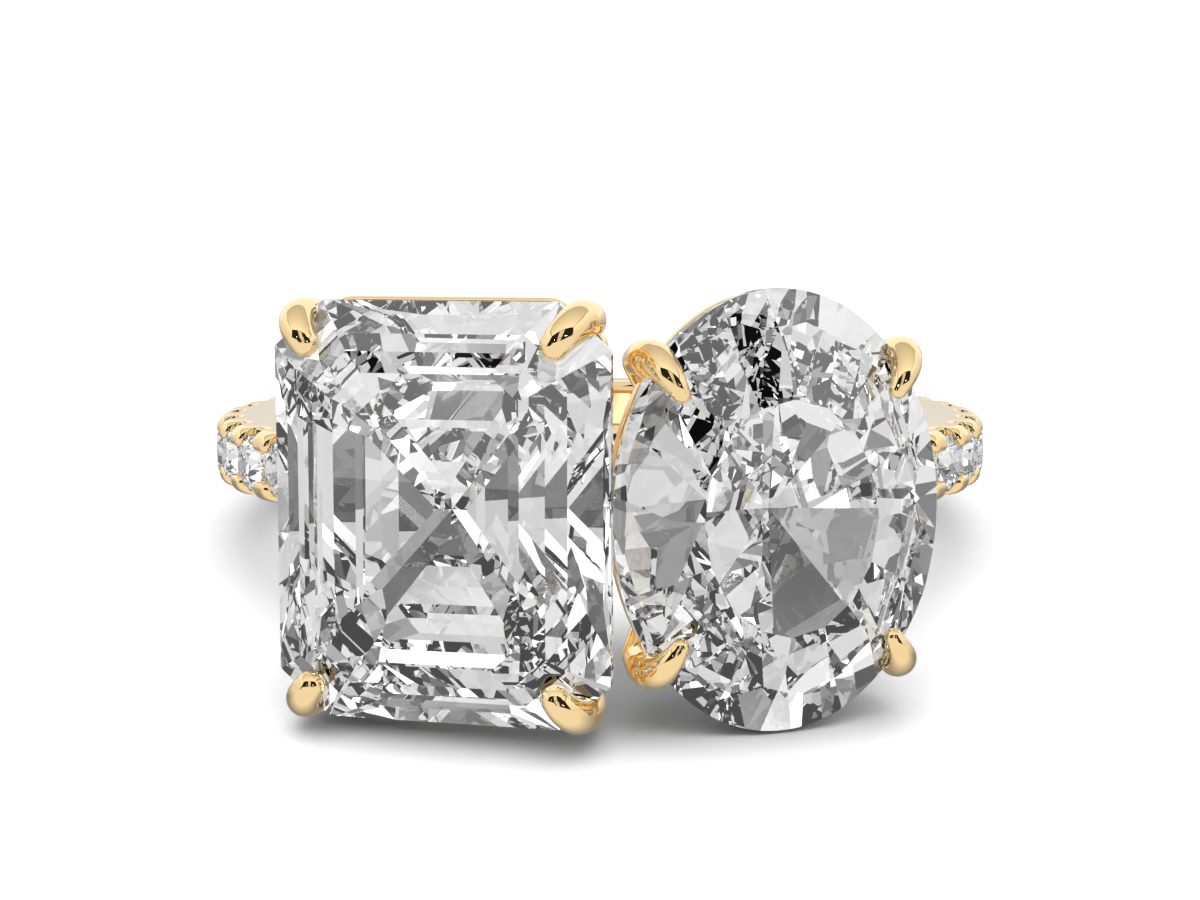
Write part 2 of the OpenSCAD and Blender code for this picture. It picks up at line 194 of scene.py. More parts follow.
class RingTent(bpy.types.PropertyGroup):
    """The light tent, as the gold and the stones' outsides reflect it"""

    half_width: number(
        "Half Width", "Half the tent's width, as a share of its reach to the front",
        1.6, 0.3, 3)
    height: number("Height", "Height of the overhead panel, as a share of that reach", 1.3, 0.2, 3)
    back: number("Back", "Reach to the back, as a share of that reach", 1.5, 0.3, 4)
    panel_back: number("Panel Back", "Brightness of the overhead panel at the back", 0.6, 0, 5)
    panel_front: number("Panel Front", "Its brightness at the front edge", 1.2, 0, 5)
    panel_falloff: number("Panel Falloff", "How quickly it darkens behind its front edge", 1.6, 0.5, 8)
    left_wall: number("Left Wall", "Brightness of the left wall", 1.25, 0, 5)
    right_wall: number("Right Wall", "Brightness of the right wall", 1.25, 0, 5)
    wall_foot: number("Wall Foot", "Brightness at the walls' foot, as a share", 0.65, 0, 2)
    back_wall: number("Back Wall", "Brightness of the back wall", 1.15, 0, 5)
    floor: number("Floor", "Brightness of the tent's white floor in reflections", 0.92, 0, 5)
    floor_back: number("Shaded Floor", "Its brightness under the ring, which shades it", 0.3, 0, 5)
    stone_floor: number("Stone Floor", "Its brightness in the stones' sharp reflections", 0.4, 0, 5)
    front: number("Front", "Brightness of the dark front", 0.02, 0, 1)
    front_foot: as_share(
        "Front Foot", "Height of the white cloth below the dark front, as a share of the tent's height",
        0.1, 0, 1)
    flap: number("Flap", "Brightness of its paler middle", 0.8, 0, 5)
    flap_foot: as_share(
        "Flap Foot", "Half the width of that middle at its foot, as a share of the reach",
        0.12, 0, 1)
    flap_top: as_share("Flap Top", "Half its width at the top, as a share of the reach", 0.3, 0, 1)
    seam: number("Seam", "Width of the dark seam round the overhead panel", 0.035, 0, 0.2)


class RingStoneLight(bpy.types.PropertyGroup):
    """The light that comes through the stones"""

    dome: number("Dome", "Brightness of the dome between the lamps, as the stones see it", 0.38, 0, 5)
    floor: number("Floor", "Brightness of the floor straight below", 0.979, 0, 5)
    horizon: number("Horizon", "Brightness of the floor far off", 0.729, 0, 5)
    shade: number("Shade", "Brightness of the dark place that the camera stands in", 0.075, 0, 1)
    shade_up: in_degrees("Shade Height", "Height of its middle", 15, 0, 90)
    shade_wide: in_degrees("Shade Radius", "Its radius", 35.5, 5, 90)
    shade_soft: in_degrees("Shade Softness", "Softness of its edge", 8.9, 0.5, 40)


class RingStudio(bpy.types.PropertyGroup):
    """Light, floor and camera"""

    stone_light: group(RingStoneLight, "Stone Light", "The light as the stones see it")
    tent: group(RingTent, "Light Tent", "The tent's sizes and brightness")
    lamp: number("Lamp", "Power of the overhead lamp that whitens the floor, in watts", 0.075, 0, 10)
    lamp_size: in_mm("Lamp Size", "Diameter of that lamp", 130, 10, 500)
    lamp_height: in_mm("Lamp Height", "Its height above the ring", 100, 20, 500)
    lamp_forward: in_mm("Lamp Forward", "How far it hangs towards the camera", 40, -200, 200)
    glow: number("Ceiling Glow", "Strength of the wide soft light that whitens the floor far off", 1.2, 0, 10)
    glow_spread: in_degrees("Glow Spread", "Angle that this light spreads over", 120, 0, 180)
    glow_lean: in_degrees("Glow Lean", "How far this light leans towards the camera", 20, 0, 80)
    glint: as_share("Glint", "Strength of the soft bloom round the brightest glints", 0.7, 0, 1)
    glint_from: number("Glint Threshold", "Brightness from which a glint blooms", 2.5, 1, 20)
    glint_size: as_share("Glint Size", "Size of that bloom, as a share of the picture", 0.25, 0, 1)
    distance: in_mm("Distance", "From the camera to the middle of the ring", 51.2, 20, 200)
    lens: in_mm("Lens", "Focal length of the camera", 56.22, 20, 200)
    rise: in_degrees("Rise", "Height of the camera above the ring's own plane", 6.6, 0, 80)
    sky: number("Light", "Strength of the soft studio light", 1.0, 0, 10)


class RingSizes(bpy.types.PropertyGroup):
    """All of the ring's sizes and colours"""

    shank: group(RingShankSizes, "Shank", "Sizes of the shank")
    melee: group(RingMeleeSizes, "Small Diamonds", "Sizes of the small diamonds")
    radiant: group(RingRadiantSizes, "Radiant", "Sizes of the radiant diamond")
    oval: group(RingOvalSizes, "Oval", "Sizes of the oval diamond")
    basket: group(RingBasketSizes, "Baskets", "Sizes of the baskets")
    radiant_claw: group(RingClawSizes, "Radiant Claws", "Sizes of the radiant's claws")
    oval_claw: group(RingClawSizes, "Oval Claws", "Sizes of the oval's claws")
    finish: group(RingFinish, "Finish", "Colours of metal and stones")
    studio: group(RingStudio, "Studio", "Camera and light")


# Where the oval's claws differ from the radiant's, whose sizes are the defaults
OVAL_CLAW = {
    "radius": 0.338, "rise": 0.85, "out": 0.107, "bend": 0.613,
    "tip": 0.56, "bow": 0.16, "tuck": 0.12, "heading": 60,
}

# A small diamond's crown, pavilion, table and girdle, as shares of its diameter
MELEE_CROWN, MELEE_PAVILION, MELEE_TABLE, MELEE_GIRDLE = 0.15, 0.42, 0.56, 0.03

# Rounding of the rim that the ring rests on at its back, in mm
REST_ROUNDING = 0.3


# Places, worked out from the sizes as in the part's own source


def sizes():
    return bpy.context.scene.ring_sizes


def outer_r():
    s = sizes().shank
    return s.finger_r + s.thick


def melee_seat_r():
    m = sizes().melee
    return outer_r() - (MELEE_CROWN + MELEE_GIRDLE / 2) * m.size


def melee_step():
    m = sizes().melee
    return 2 * math.asin((m.size + m.gap) / 2 / melee_seat_r())


def melee_angles():
    """Angle of each small diamond from the middle of the head, for one shoulder."""
    m = sizes().melee
    return [math.radians(m.start) + k * melee_step() for k in range(m.count)]


def radiant_place():
    """Where the radiant sits: across, along, and its lean in radians."""
    r, b = sizes().radiant, sizes().basket
    lean, half, deep = math.radians(r.lean), r.wide / 2, b.girdle / 2 + r.pavilion
    reach = outer_r() + r.point_gap
    x = r.past - half * math.cos(lean)
    point_x = x + deep * math.sin(lean)
    return x, -math.sqrt(reach**2 - point_x**2) - deep * math.cos(lean), -lean


def oval_place():
    """Where the oval sits, with its edge close behind the radiant's."""
    r, o, b = sizes().radiant, sizes().oval, sizes().basket
    edge_y = radiant_place()[1] - r.wide / 2 * math.sin(math.radians(r.lean))
    lean = math.radians(o.lean)
    x = r.past + o.wide / 2 * math.cos(lean)
    return x, edge_y + b.girdle + o.stone_gap + o.wide / 2 * math.sin(lean), lean


def rail_levels():
    """Top and bottom of the gallery rails, from the girdle's middle."""
    b = sizes().basket
    top = -(b.girdle / 2 + b.rail_drop)
    return top, top - b.rail_h


def rest_tip():
    """How far the ring tips forward to lie on the ground, in radians."""
    s, r, o, b = sizes().shank, sizes().radiant, sizes().oval, sizes().basket
    back_y, back_z = outer_r() - REST_ROUNDING, -(s.wide / 2 - REST_ROUNDING)
    foot = -rail_levels()[1]

    def onto(place, depth, half_length):
        run = back_y - place[1] - depth * math.cos(place[2])
        drop = back_z + half_length
        return math.atan(drop / run) - math.asin(REST_ROUNDING / math.hypot(run, drop))

    rp, op = radiant_place(), oval_place()
    return max(
        onto(rp, foot, r.long / 2 + b.rail_proud),
        onto(rp, b.girdle / 2, r.long / 2),
        onto(op, foot, o.long / 2 - b.oval_tuck),
        onto(op, b.girdle / 2, o.long / 2),
    )


def tipped():
    return Matrix.Rotation(-rest_tip(), 4, "X")


def stone_frame(place):
    """From a main stone's own frame (x width, y length, z outwards) to the ring's."""
    x, y, lean = place
    turn = Matrix.Rotation(lean, 4, "Z") @ Matrix.Rotation(math.pi / 2, 4, "X")
    return Matrix.Translation((x, y, 0)) @ turn


# Helpers for meshes and nodes

# Corners closer than this are one, in mm: in a wire, and in the shank's loft
WELD, SHANK_WELD = 1e-4, 2e-4
# A loose part of the mount with fewer corners than this is a sliver that cutting left
SLIVER = 40


def add_object(name, data):
    ob = bpy.data.objects.new(name, data)
    bpy.context.scene.collection.objects.link(ob)
    return ob


def mesh_of(bm, name):
    me = bpy.data.meshes.new(name)
    bm.to_mesh(me)
    bm.free()
    return me


def welded(me, weld, thin=None):
    """Joins a mesh's doubled corners, melts edges thinner than thin, and turns it outwards."""
    bm = bmesh.new()
    bm.from_mesh(me)
    bmesh.ops.remove_doubles(bm, verts=bm.verts, dist=weld)
    if thin:
        bmesh.ops.dissolve_degenerate(bm, dist=thin, edges=bm.edges)
    bmesh.ops.recalc_face_normals(bm, faces=bm.faces)
    bm.to_mesh(me)
    bm.free()
    return me


def plain_mesh(ob):
    """What an object's modifiers make, as a mesh of its own, and the modifiers removed."""
    bpy.context.view_layer.update()
    made = bpy.data.meshes.new_from_object(ob.evaluated_get(bpy.context.evaluated_depsgraph_get()))
    ob.modifiers.clear()
    return made


def closed_loft(rings, name, around=False):
    """Mesh through rings of points, each ring closed; around joins the last ring to the first."""
    bm = bmesh.new()
    rows = [[bm.verts.new(p) for p in ring] for ring in rings]
    n = len(rows[0])
    for i in range(len(rows) if around else len(rows) - 1):
        a, b = rows[i], rows[(i + 1) % len(rows)]
        for k in range(n):
            bm.faces.new((a[k], a[(k + 1) % n], b[(k + 1) % n], b[k]))
    if not around:
        bm.faces.new(rows[0][::-1])
        bm.faces.new(rows[-1])
    bmesh.ops.recalc_face_normals(bm, faces=bm.faces)
    return mesh_of(bm, name)


def boolean(ob, other, operation):
    """Joins or cuts two closed meshes, and leaves a plain mesh."""
    mod = ob.modifiers.new("cut", "BOOLEAN")
    mod.operation, mod.solver, mod.object = operation, "MANIFOLD", other
    made = plain_mesh(ob)
    old, ob.data = ob.data, made
    spent = other.data
    bpy.data.objects.remove(other)
    for me in (old, spent):
        bpy.data.meshes.remove(me)
    return ob


def drop_slivers(ob):
    """Removes the loose slivers that cutting leaves."""
    bm = bmesh.new()
    bm.from_mesh(ob.data)
    left = set(bm.verts)
    while left:
        part, edge = set(), {left.pop()}
        while edge:
            part |= edge
            edge = {e.other_vert(v) for v in edge for e in v.link_edges} - part
        left -= part
        if len(part) < SLIVER:
            bmesh.ops.delete(bm, geom=list(part), context="VERTS")
    bm.to_mesh(ob.data)
    bm.free()


def finish_piece(ob, name, material, replaces, matrix, sharp=None):
    """Puts a piece's shape in place in metres, and rides it on the ring."""
    me = ob.data
    me.transform(Matrix.Scale(MM, 4) @ matrix)
    me.name = ob.name = name
    me.materials.clear()
    me.materials.append(material)
    if sharp is None:
        me.shade_flat()
    else:
        me.shade_smooth()
        me.set_sharp_from_angle(angle=math.radians(sharp))
    me.update()
    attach(ob, "root")
    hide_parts(*replaces)
    return ob


def add_node(tree, kind, given=None, **settings):
    """Adds a node. Each input that is given takes a value, or another node's socket."""
    node = tree.nodes.new(kind)
    for key, value in settings.items():
        setattr(node, key, value)
    for key, value in (given or {}).items():
        if isinstance(value, bpy.types.NodeSocket):
            tree.links.new(value, node.inputs[key])
        else:
            node.inputs[key].default_value = value
    return node


def math_node(tree, op, *values):
    """One step of arithmetic on numbers and sockets."""
    return add_node(tree, "ShaderNodeMath", dict(enumerate(values)), operation=op).outputs[0]


# Cut stones

# Dual corners whose planes cross at less than this, as a determinant, meet nowhere
CROSSING = 1e-9
# Corners of a stone closer than this are one, in mm
STONE_WELD = 1e-3
# Facets that meet at less than this are one, in degrees
SAME_FACET = 0.3

UP = Vector((0, 0, 1))

# Steps of the radiant's crown: share of the way in to the table, share of the crown's height
RADIANT_STEPS = ((0, 0), (0.451, 0.65), (0.7, 0.845), (1, 1))
# How much smaller a cut corner is at the table than at the girdle, as a share
CORNER_SHRINK = 0.45
# How far the lower facets' headings are drawn in, in radians
DRAWN_IN = 0.112

# The oval's crown: middle points of its upper girdle facets and its stars, each as a share of the
# girdle's size and of the crown's height, and how much steeper each kind is cut, in degrees
GIRDLE_FACETS, GIRDLE_STEEPER = (0.76, 0.5), -0.2
STARS, STARS_STEEPER = (0.78, 0.52), 1
# Where the stars meet the table, as a share of its size
STAR_POINT = 0.985
OVAL_SIDES = 96

# Slopes of a small diamond's stars and upper girdle facets, and how much steeper than its mains
# its lower girdle facets are, in degrees
MELEE_STAR, MELEE_UPPER, MELEE_LOWER = 22, 38, 2
MELEE_STAR_POINT = 0.98
MELEE_SIDES = 32
# Each small diamond is turned by chance, by no more than this, in radians
MELEE_TURN, MELEE_SEED = 0.7, 7


def round_points(a, b, n):
    return [(a * math.cos(TAU * k / n), b * math.sin(TAU * k / n)) for k in range(n)]


def cut_stone(outline, facets, name):
    """A stone bounded by flat facets, each given as its outward normal and its distance from a
    point inside the stone. The girdle's own walls come from its outline."""
    planes = list(facets)
    for p, q in zip(outline, outline[1:] + outline[:1]):
        p, q = Vector((*p, 0)), Vector((*q, 0))
        normal = (q - p).cross(UP).normalized()
        planes.append((normal, normal.dot(p)))
    # Each corner of the stone is a face of the hull of the planes' duals
    dual = bmesh.new()
    owner = {dual.verts.new(no / d): k for k, (no, d) in enumerate(planes)}
    bmesh.ops.convex_hull(dual, input=dual.verts)
    corners = []
    for f in dual.faces:
        three = [planes[owner[v]] for v in f.verts[:3]]
        m = Matrix([no for no, _ in three])
        if abs(m.determinant()) > CROSSING:
            corners.append(m.inverted() @ Vector([d for _, d in three]))
    dual.free()
    bm = bmesh.new()
    for c in corners:
        bm.verts.new(c)
    bmesh.ops.remove_doubles(bm, verts=bm.verts, dist=STONE_WELD)
    hull = bmesh.ops.convex_hull(bm, input=bm.verts)
    inner = {g for g in hull["geom_interior"] if isinstance(g, bmesh.types.BMVert)}
    bmesh.ops.delete(bm, geom=list(inner), context="VERTS")
    bmesh.ops.dissolve_limit(bm, angle_limit=math.radians(SAME_FACET), verts=bm.verts, edges=bm.edges)
    bmesh.ops.recalc_face_normals(bm, faces=bm.faces)
    return mesh_of(bm, name)


def facet(azimuth, slope, through):
    """The plane of one facet: its heading round the stone and slope from the girdle plane, in
    degrees (a pavilion's slope is negative), through a point given as reach along that heading
    and height."""
    a, s = math.radians(azimuth), math.radians(abs(slope))
    up = 1 if slope > 0 else -1
    normal = Vector((math.sin(s) * math.cos(a), math.sin(s) * math.sin(a), up * math.cos(s)))
    return normal, math.sin(s) * through[0] + up * math.cos(s) * through[1]


def slope_between(p, q):
    """Slope in degrees of the line between two points given as reach and height."""
    return math.degrees(math.atan2(abs(q[1] - p[1]), abs(q[0] - p[0])))


def reach_of(outline, azimuth):
    a = math.radians(azimuth)
    return max(x * math.cos(a) + y * math.sin(a) for x, y in outline)


def cut_corners(a, b, ca, cb):
    """Outline of a rectangle with cut corners, from its half sizes and its corners' sizes."""
    return [
        (a, -(b - cb)), (a, b - cb), (a - ca, b), (-(a - ca), b),
        (-a, b - cb), (-a, -(b - cb)), (-(a - ca), -b), (a - ca, -b),
    ]


def drawn_in(heading):
    """Moves a facet's heading towards or away from the stone's corners."""
    return heading + math.degrees(DRAWN_IN * math.sin(math.radians(4 * heading)) / 2)


# Rings that the pavilions' facets pass through: share of the girdle's size, share of the depth,
# and how far the ring has turned from the girdle's outline to an ellipse
RADIANT_RINGS = ((1, 0, 0), (0.719, 0.374, 0.35), (0.515, 0.560, 0.00), (0, 1, 0.20))
OVAL_RINGS = ((1, 0, 1), (0.852, 0.258, 0.91), (0.744, 0.432, 0.91), (0, 1, 1))
# Headings of each row of facets, in degrees from the width
RADIANT_ROWS = (
    (0, 30, 48.4, 60, 90, 120, 131.6, 150, 180, 210, 228.4, 240, 270, 300, 311.6, 330),
    tuple(drawn_in(45 * k) for k in range(8)),
    tuple(drawn_in(45 * (k + 0.5)) for k in range(8)),
)
OVAL_ROWS = (
    tuple(22.5 + 45 * k for k in range(8)),
    tuple(90 * k for k in range(4)),
    tuple(22.5 + 45 * k for k in range(8)),
)


def pavilion(a, b, girdle_z, depth, rings, rows, reach):
    """Rows of pavilion facets. A facet of one row passes through the ring above and the ring
    below it, at its own heading."""

    def at(ring, h):
        share, deep, oval = ring
        t = math.radians(h)
        ellipse = math.hypot(a * math.cos(t), b * math.sin(t))
        return share * ((1 - oval) * reach(h) + oval * ellipse), girdle_z - depth * deep

    made = []
    for upper, lower, row in zip(rings, rings[1:], rows):
        for h in row:
            p, q = at(upper, h), at(lower, h)
            made.append(facet(h, -slope_between(p, q), p))
    return made


def radiant_facets():
    """The radiant's outline, and its crown's steps, table and pavilion."""
    r, g = sizes().radiant, sizes().basket
    a, b, band = r.wide / 2, r.long / 2, g.girdle / 2
    in_a, in_b = a - r.table_w / 2, b - r.table_l / 2
    heading = math.degrees(math.atan2(r.corner_w, r.corner_l))
    made = []

    def ring(share, height):
        k = 1 - CORNER_SHRINK * share
        outline = cut_corners(a - in_a * share, b - in_b * share, r.corner_w * k, r.corner_l * k)
        return outline, band + r.crown * height

    headings = (0, 90, 180, 270, heading, 180 - heading, 180 + heading, -heading)
    for lower, upper in zip(RADIANT_STEPS, RADIANT_STEPS[1:]):
        (low, low_z), (high, high_z) = ring(*lower), ring(*upper)
        for h in headings:
            p, q = (reach_of(low, h), low_z), (reach_of(high, h), high_z)
            made.append(facet(h, slope_between(p, q), p))
    made.append((UP, band + r.crown))
    outline = cut_corners(a, b, r.corner_w, r.corner_l)
    reach = partial(reach_of, outline)
    return outline, made + pavilion(a, b, -band, r.pavilion, RADIANT_RINGS, RADIANT_ROWS, reach)


def oval_facets():
    """The oval's outline, and its crown's mains, girdle facets, stars, table and pavilion."""
    o, g = sizes().oval, sizes().basket
    a, b, band = o.wide / 2, o.long / 2, g.girdle / 2
    top = band + o.crown
    table = o.table_w / o.wide
    made = []

    def reach(h):
        h = math.radians(h)
        return math.hypot(a * math.cos(h), b * math.sin(h))

    def heading(t):
        """Heading of the outline's normal at a share of the way round."""
        t = math.radians(t)
        return math.degrees(math.atan2(a * math.sin(t), b * math.cos(t)))

    for k in range(8):
        h = heading(45 * k)
        at_table = (reach(h) * table, top)
        made.append(facet(h, slope_between((reach(h), band), at_table), at_table))
    for k in range(16):
        h = heading(22.5 * k + 11.25)
        at_girdle, share = (reach(h), band), GIRDLE_FACETS
        s = slope_between(at_girdle, (reach(h) * share[0], band + share[1] * o.crown))
        made.append(facet(h, s + GIRDLE_STEEPER, at_girdle))
    for k in range(8):
        h = heading(45 * k + 22.5)
        s = slope_between((reach(h) * STARS[0], band + STARS[1] * o.crown), (reach(h) * table, top))
        made.append(facet(h, s + STARS_STEEPER, (reach(h) * table * STAR_POINT, top)))
    made.append((UP, top))
    rows = tuple(tuple(heading(t) for t in row) for row in OVAL_ROWS)
    made += pavilion(a, b, -band, o.pavilion, OVAL_RINGS, rows, reach)
    return round_points(a, b, OVAL_SIDES), made


def melee_facets():
    """A small round brilliant's outline and facets."""
    m = sizes().melee
    r, band = m.size / 2, MELEE_GIRDLE * m.size / 2
    top, tip = band + MELEE_CROWN * m.size, (0, -band - MELEE_PAVILION * m.size)
    above, below = (r, band), (r, -band)
    made = []
    for k in range(8):
        made.append(facet(45 * k, slope_between(above, (r * MELEE_TABLE, top)), above))
        made.append(facet(45 * k + 22.5, MELEE_STAR, (r * MELEE_TABLE * MELEE_STAR_POINT, top)))
    for k in range(16):
        made.append(facet(22.5 * k + 11.25, MELEE_UPPER, above))
        made.append(facet(22.5 * k + 11.25, -(slope_between(below, tip) + MELEE_LOWER), below))
    made.append((UP, top))
    for k in range(8):
        made.append(facet(45 * k, -slope_between(below, tip), tip))
    return round_points(r, r, MELEE_SIDES), made


# Goldwork, in mm where nothing else is said

# The shank's section: its edges' least rounding, how soon that rounding fades into a notch, the
# seats' depth as a share of a small diamond, the bead tips' rounding, and how far they draw back
LEAST_ROUND = 0.06
ROUND_FADE = 0.7
SEAT_DEPTH = 0.15
BEAD_TIP = 0.14
BEAD_DRAW_BACK = 0.2
# Sections round the plain back and across the head, and the angle between ones that meet
BACK_SECTIONS, HEAD_SECTIONS = 44, 24
HAIR = 1e-4
# Steps round a bead's edge and a notch's floor, in degrees, and how far past a bead's edge its
# plain top begins
BEAD_TURN, NOTCH_TURN = 10, 12
BEAD_TOP = 0.01

# A small diamond's seat: its point's radius, and how far it opens above the table
SEAT_POINT, SEAT_OPEN = 0.01, 0.4
SEAT_SIDES = 48

# A claw's girth at its foot, half way up its stem, at the stem's top and at the rail, as shares
# of its radius, and how much wider it is at the girdle than just below
STEM_GIRTHS = (0.8, 0.86, 0.92, 1.02)
GIRDLE_SWELL = 0.03
# How far a stem bulges out at its middle, and where its top lies inside and below the rail
STEM_BULGE, STEM_IN, STEM_BELOW = 0.2, 0.12, 0.15
# Where a claw crosses the rail above its foot, and its tuck and bow there, as shares
RAIL_CROSSING, RAIL_TUCK, RAIL_BOW = 0.12, 0.6, 0.8
# How far below the girdle a claw is widest, and its bow there and at the girdle, as shares
NECK_DEPTH, NECK_BOW, GIRDLE_BOW = 0.34, 0.5, 0.3
BEND_STEPS, STEPS_PER_SPAN, CLAW_SIDES = 7, 5, 36
# Angles of the rings that round off a claw's tip, in degrees
TIP_RINGS = (10, 20, 30, 40, 50, 60, 70, 80, 87)
# A foot stands in from the shank's edge by this share of the claw's radius and this much more
FOOT_IN, FOOT_MORE = 0.8, 0.01

RAIL_ROUND = 0.09
# A rail's corner is eased over this length, but over no more than this share of a side
RAIL_EASE, MOST_EASED, EASE_STEPS = 0.12, 0.4, 4
OVAL_RAIL_POINTS = 144
# The radiant's rail has cut corners of these shares of the stone's, across and along
RAIL_CORNER = (0.78, 0.7)
# The radiant's claws stand inside the middles of its cut corners across, and outside along
CLAW_INSIDE, CLAW_OUTSIDE = 0.1, 0.08
# Where the oval's claws stand on its outline, in degrees of the way round
OVAL_CLAW_AT = 42.2
# A seat's outline grows by its gap over this reach
SEAT_REACH = 3.5
# Edges of the mount sharper than this stay sharp, in degrees
SHARP_EDGE = 38


def arc(centre, radius, start, end, steps):
    """Points of an arc in a plane, both ends in, angles in degrees."""
    made = []
    for k in range(steps + 1):
        t = math.radians(start + (end - start) * k / steps)
        made.append((centre[0] + radius * math.cos(t), centre[1] + radius * math.sin(t)))
    return made


def line(p, q, steps):
    return [tuple(u + (v - u) * k / steps for u, v in zip(p, q)) for k in range(steps + 1)]


def shank_section(depth, bead):
    """Half of the shank's section as (radius, height), from the finger hole to the outside.
    depth is how far a notch lowers its outside here, and bead is None or the place across the
    bead, from 0 in its middle to 1 at the notch."""
    s = sizes().shank
    ri, half, ro, ease = s.finger_r, s.wide / 2, outer_r() - depth, s.inner_round
    q = LEAST_ROUND + (s.outer_round - LEAST_ROUND) * max(0, 1 - depth / s.notch_depth) ** ROUND_FADE
    floor, edge = ro, s.tip_gap / 2
    if bead is not None:
        floor = min(ro, melee_seat_r() - SEAT_DEPTH * sizes().melee.size)
        edge += BEAD_DRAW_BACK * (1 - math.sqrt(max(0, 1 - bead**2)))
    tip = min(BEAD_TIP, (ro - floor) / 2)
    made = line((ri, 0), (ri, half - ease), 3)
    for part in (
        arc((ri + ease, half - ease), ease, 180, 90, 4),
        line((ri + ease, half), (ro - q, half), 4),
        arc((ro - q, half - q), q, 90, 0, 8),
        line((ro, half - q), (ro, edge + tip), 3),
        arc((ro - tip, edge + tip), tip, 0, -90, 5),
        line((ro - tip, edge), (floor, edge), 2),
        line((floor, edge), (floor, 0), 2),
    ):
        made += part[1:]
    return made


def shank_stations():
    """Where the shank's sections lie: angle from the middle of the head, notch depth and place
    across the bead, once round."""
    s = sizes().shank
    ro, w, rho = outer_r(), s.notch_w / 2, s.bead_round
    half_pitch = melee_step() * ro / 2
    bead_half = half_pitch - w
    side = [(min(half_pitch, w + rho + BEAD_TOP), 0)]
    for turn in range(90, 0, -BEAD_TURN):
        t = math.radians(turn)
        side.append((w + rho * (1 - math.cos(t)), rho * (1 - math.sin(t))))
    floor = []
    for turn in range(90, -91, -NOTCH_TURN):
        t = math.radians(turn)
        floor.append((w * math.sin(t), s.notch_depth - w + w * math.cos(t)))
    cells = [(-x, d) for x, d in side + floor] + [(x, d) for x, d in side[::-1]]
    shoulder = []
    for angle in melee_angles():
        for x, d in cells:
            bead = min(1, (half_pitch - abs(x)) / bead_half) if abs(x) >= w - 1e-6 else 1
            shoulder.append((angle + x / ro, d, bead))
    plain_from, front_from = shoulder[-1][0] + HAIR, shoulder[0][0] - HAIR
    plain = TAU - 2 * plain_from
    back = [(plain_from + plain * k / BACK_SECTIONS, 0, None) for k in range(BACK_SECTIONS + 1)]
    front = [(-front_from + 2 * front_from * k / HEAD_SECTIONS, 0, None) for k in range(HEAD_SECTIONS + 1)]
    left = [(-a, d, bead) for a, d, bead in shoulder[::-1]]
    return front + shoulder + back + left


def shank_mesh():
    rings = []
    for angle, depth, bead in shank_stations():
        half = shank_section(depth, bead)
        section = [(r, -z) for r, z in half[:0:-1]] + half[:-1]
        rings.append([(r * math.sin(angle), -r * math.cos(angle), z) for r, z in section])
    return welded(closed_loft(rings, "shank", around=True), SHANK_WELD, thin=WELD)


def melee_seat():
    """Room for one small diamond, open outwards above its table."""
    m, gap = sizes().melee, sizes().basket.seat_gap
    r, band = m.size / 2 + gap, MELEE_GIRDLE * m.size / 2
    table, crown = MELEE_TABLE * m.size / 2 + gap, band + MELEE_CROWN * m.size
    profile = [
        (SEAT_POINT, -band - MELEE_PAVILION * m.size - gap), (r, -band), (r, band + gap),
        (table, crown + gap), (table, crown + SEAT_OPEN),
    ]
    rings = [[(x, y, z) for x, y in round_points(reach, reach, SEAT_SIDES)] for reach, z in profile]
    return closed_loft(rings, "melee_seat")


def new_tree(name, *inputs):
    """A geometry tree that takes a shape and more named inputs, with the outputs of its input node."""
    tree = bpy.data.node_groups.new(name, "GeometryNodeTree")
    add = tree.interface.new_socket
    add("Geometry", in_out="INPUT", socket_type="NodeSocketGeometry")
    for label, kind in inputs:
        add(label, in_out="INPUT", socket_type="NodeSocket" + kind)
    add("Finish", in_out="INPUT", socket_type="NodeSocketMaterial")
    add("Geometry", in_out="OUTPUT", socket_type="NodeSocketGeometry")
    return tree, tree.nodes.new("NodeGroupInput").outputs


def end_tree(tree, shape, given):
    """Turns copies into real shapes, gives them their finish and ends the tree."""
    real = add_node(tree, "GeometryNodeRealizeInstances", {0: shape})
    finish = add_node(tree, "GeometryNodeSetMaterial", {
        "Geometry": real.outputs[0], "Material": given["Finish"]})
    add_node(tree, "NodeGroupOutput", {0: finish.outputs[0]})
    return tree


